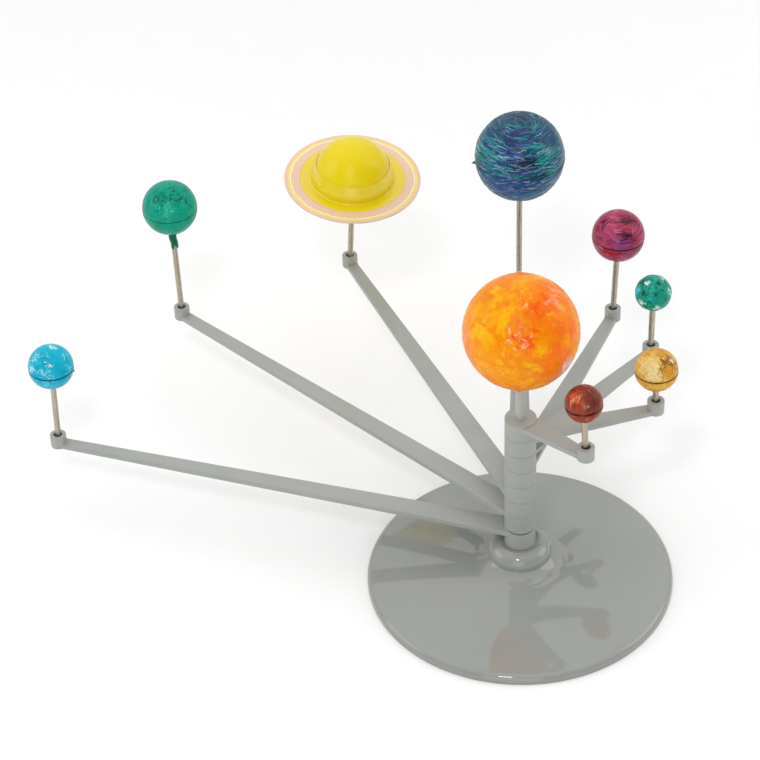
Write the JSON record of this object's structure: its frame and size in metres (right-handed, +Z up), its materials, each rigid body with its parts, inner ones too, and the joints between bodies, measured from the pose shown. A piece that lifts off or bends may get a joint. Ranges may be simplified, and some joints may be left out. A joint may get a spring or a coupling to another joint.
{
  "type": "orrery",
  "caption": "Tabletop orrery: a round dish base and post carry stacked turning arms, whose rods hold hollow painted planet balls round a sun ball.",
  "frame": {"origin": "centre of the round base, on the surface it stands on, under the post's axis", "axes": "+Z up along the post; +X to the right and -Y to the front of the pose it is stored in"},
  "size_m": [0.2988, 0.2757, 0.1666],
  "materials": {
    "base_plastic": "moulded, very glossy grey",
    "post_plastic": "moulded, satin light grey",
    "arm_plastic": "moulded, satin grey",
    "rod_steel": "drawn wire with a warm tint",
    "sun_paint": "hand-painted, glossy brush strokes",
    "mercury_paint": "hand-painted, glossy brush strokes",
    "venus_paint": "hand-painted, glossy brush strokes",
    "earth_paint": "hand-painted, glossy brush strokes",
    "mars_paint": "hand-painted, glossy brush strokes",
    "jupiter_paint": "hand-painted, glossy brush strokes",
    "saturn_paint": "painted, smooth gloss",
    "ring_print": "painted in concentric bands",
    "uranus_paint": "hand-painted, glossy brush strokes",
    "neptune_paint": "hand-painted, glossy brush strokes"
  },
  "bodies": {
    "stand": {"base_dish": "base_plastic", "centre_post": "post_plastic"},
    "sun_ball": {"sun_lower_half": "sun_paint", "sun_upper_half": "sun_paint"},
    "mercury_carrier": {"mercury_arm": "arm_plastic", "mercury_rod": "rod_steel"},
    "mercury_ball": {"mercury_lower_half": "mercury_paint", "mercury_upper_half": "mercury_paint"},
    "venus_carrier": {"venus_arm": "arm_plastic", "venus_rod": "rod_steel"},
    "venus_ball": {"venus_lower_half": "venus_paint", "venus_upper_half": "venus_paint"},
    "earth_carrier": {"earth_arm": "arm_plastic", "earth_rod": "rod_steel"},
    "earth_ball": {"earth_lower_half": "earth_paint", "earth_upper_half": "earth_paint"},
    "mars_carrier": {"mars_arm": "arm_plastic", "mars_rod": "rod_steel"},
    "mars_ball": {"mars_lower_half": "mars_paint", "mars_upper_half": "mars_paint"},
    "jupiter_carrier": {"jupiter_arm": "arm_plastic", "jupiter_rod": "rod_steel"},
    "jupiter_ball": {"jupiter_lower_half": "jupiter_paint", "jupiter_upper_half": "jupiter_paint"},
    "saturn_carrier": {"saturn_arm": "arm_plastic", "saturn_rod": "rod_steel"},
    "saturn_ball": {"saturn_lower_half": "saturn_paint", "saturn_upper_half": "saturn_paint", "saturn_ring": "ring_print"},
    "uranus_carrier": {"uranus_arm": "arm_plastic", "uranus_rod": "rod_steel"},
    "uranus_ball": {"uranus_lower_half": "uranus_paint", "uranus_upper_half": "uranus_paint"},
    "neptune_carrier": {"neptune_arm": "arm_plastic", "neptune_rod": "rod_steel"},
    "neptune_ball": {"neptune_lower_half": "neptune_paint", "neptune_upper_half": "neptune_paint"}
  },
  "joints": [
    {"name": "sun_spin", "type": "hinge", "parent": "stand", "child": "sun_ball", "pos_m": [0, 0, 0.1412], "axis": [0, 0, 1], "continuous": true},
    {"name": "mercury_orbit", "type": "hinge", "parent": "stand", "child": "mercury_carrier", "pos_m": [0, 0, 0.08972], "axis": [0, 0, 1], "continuous": true},
    {"name": "mercury_spin", "type": "hinge", "parent": "mercury_carrier", "child": "mercury_ball", "pos_m": [0.02651, -0.02346, 0.1212], "axis": [-0.0499, 0, 0.9988], "continuous": true},
    {"name": "venus_orbit", "type": "hinge", "parent": "stand", "child": "venus_carrier", "pos_m": [0, 0, 0.08077], "axis": [0, 0, 1], "continuous": true},
    {"name": "venus_spin", "type": "hinge", "parent": "venus_carrier", "child": "venus_ball", "pos_m": [0.05923, 0.01941, 0.1056], "axis": [-0.022, 0, 0.9998], "continuous": true},
    {"name": "earth_orbit", "type": "hinge", "parent": "stand", "child": "earth_carrier", "pos_m": [0, 0, 0.07182], "axis": [0, 0, 1], "continuous": true},
    {"name": "earth_spin", "type": "hinge", "parent": "earth_carrier", "child": "earth_ball", "pos_m": [0.05971, 0.07117, 0.1091], "axis": [0, 0, 1], "continuous": true},
    {"name": "mars_orbit", "type": "hinge", "parent": "stand", "child": "mars_carrier", "pos_m": [0, 0, 0.06288], "axis": [0, 0, 1], "continuous": true},
    {"name": "mars_spin", "type": "hinge", "parent": "mars_carrier", "child": "mars_ball", "pos_m": [0.04482, 0.11098, 0.1126], "axis": [0.028, 0, 0.9996], "continuous": true},
    {"name": "jupiter_orbit", "type": "hinge", "parent": "stand", "child": "jupiter_carrier", "pos_m": [0, 0, 0.05393], "axis": [0, 0, 1], "continuous": true},
    {"name": "jupiter_spin", "type": "hinge", "parent": "jupiter_carrier", "child": "jupiter_ball", "pos_m": [-0.00129, 0.14799, 0.1322], "axis": [0, 0, 1], "continuous": true},
    {"name": "saturn_orbit", "type": "hinge", "parent": "stand", "child": "saturn_carrier", "pos_m": [0, 0, 0.04498], "axis": [0, 0, 1], "range_deg": [-325, 13]},
    {"name": "saturn_spin", "type": "hinge", "parent": "saturn_carrier", "child": "saturn_ball", "pos_m": [-0.08304, 0.17212, 0.1052], "axis": [0.0645, -0.1003, 0.9929], "continuous": true},
    {"name": "uranus_orbit", "type": "hinge", "parent": "stand", "child": "uranus_carrier", "pos_m": [0, 0, 0.03603], "axis": [0, 0, 1], "range_deg": [-13, 22]},
    {"name": "uranus_spin", "type": "hinge", "parent": "uranus_carrier", "child": "uranus_ball", "pos_m": [-0.17029, 0.14574, 0.1036], "axis": [-0.013, 0, 0.9999], "continuous": true},
    {"name": "neptune_orbit", "type": "hinge", "parent": "stand", "child": "neptune_carrier", "pos_m": [0, 0, 0.02618], "axis": [0, 0, 1], "range_deg": [-22, 330]},
    {"name": "neptune_spin", "type": "hinge", "parent": "neptune_carrier", "child": "neptune_ball", "pos_m": [-0.21804, 0.05758, 0.0749], "axis": [0.031, 0, 0.9995], "continuous": true}
  ]
}
